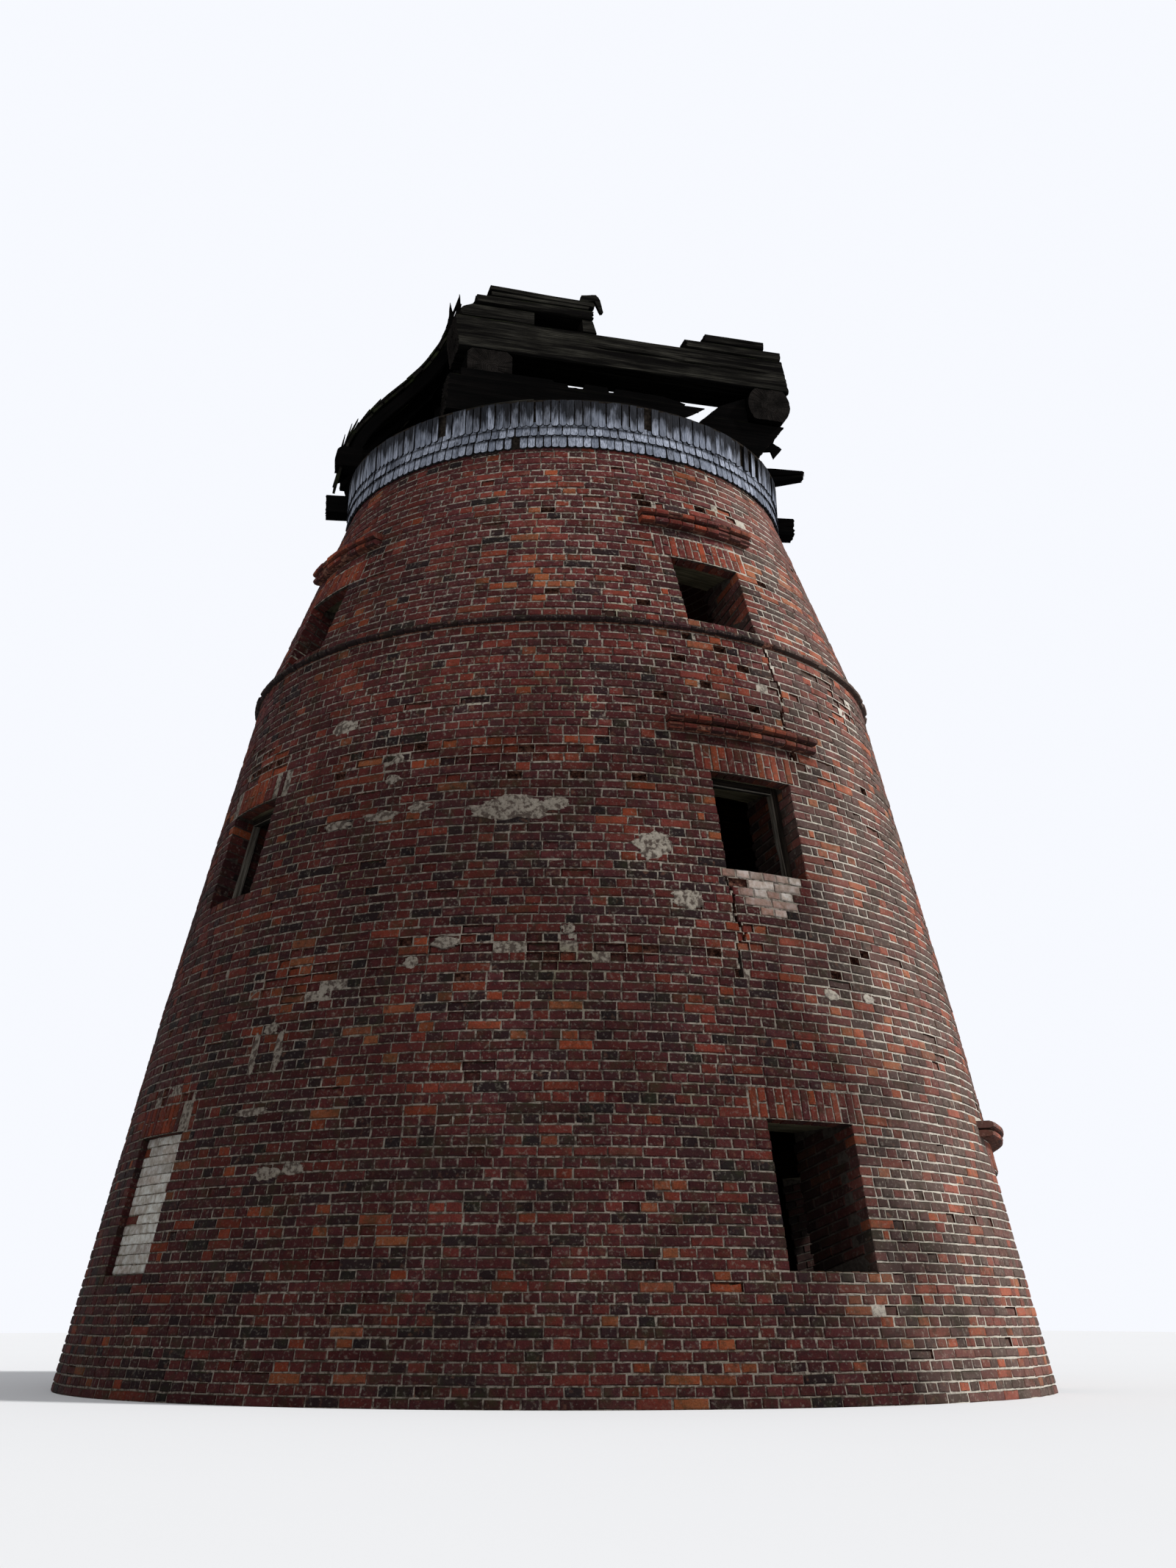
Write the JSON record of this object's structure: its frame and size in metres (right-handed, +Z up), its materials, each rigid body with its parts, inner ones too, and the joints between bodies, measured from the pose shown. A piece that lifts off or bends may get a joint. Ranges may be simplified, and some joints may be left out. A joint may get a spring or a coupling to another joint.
{
  "type": "ruined brick tower windmill",
  "caption": "Ruined tower windmill without sails: round battered brick tower with window rows, moulded courses, a shingle skirt and the timber remains of its cap.",
  "frame": {"origin": "the tower's axis at ground level, centre of the base", "axes": "+Z up, -Y out through the front column of windows, +X to the right of it"},
  "size_m": [8.9717, 8.9716, 11.165],
  "materials": {
    "brick": "rough",
    "brick_orange": "rough",
    "whitewashed_brick": "matte",
    "paving": "rough",
    "weathered_timber": "weathered",
    "frame_timber": "weathered",
    "floor_timber": "rough",
    "shingle": "weathered",
    "roof_shingle": "weathered"
  },
  "bodies": {
    "root": {"bearing_blocks": "weathered_timber", "bearing_cover": "weathered_timber", "blocked_window": "whitewashed_brick", "breast_beam": "weathered_timber", "broken_board": "weathered_timber", "curb_ring": "weathered_timber", "first_floor_boards": "floor_timber", "first_floor_joists": "floor_timber", "frame_rails": "frame_timber", "frame_stiles": "frame_timber", "front_bolsters": "weathered_timber", "ground_breasts": "brick", "ground_floor_paving": "paving", "ground_heads": "brick", "ground_pier_1": "brick", "ground_pier_2": "brick", "ground_pier_3": "brick", "ground_pier_4": "brick", "ground_pier_5": "brick", "hood_moulds": "brick", "left_sheer": "weathered_timber", "middle_breasts": "brick", "middle_heads": "brick", "middle_pier_1": "brick", "middle_pier_2": "brick", "middle_pier_3": "brick", "middle_pier_4": "brick", "rear_bolster": "weathered_timber", "right_sheer": "weathered_timber", "roof_fragment": "roof_shingle", "roof_rafters": "weathered_timber", "roof_trestle": "weathered_timber", "second_floor_boards": "floor_timber", "second_floor_joists": "floor_timber", "shingle_skirt": "shingle", "soldier_lintels": "brick_orange", "string_course": "brick", "timber_lintels": "weathered_timber", "top_boards": "weathered_timber", "upper_breasts": "brick", "upper_heads": "brick", "upper_pier_1": "brick", "upper_pier_2": "brick", "upper_pier_3": "brick", "upper_pier_4": "brick"}
  },
  "joints": []
}
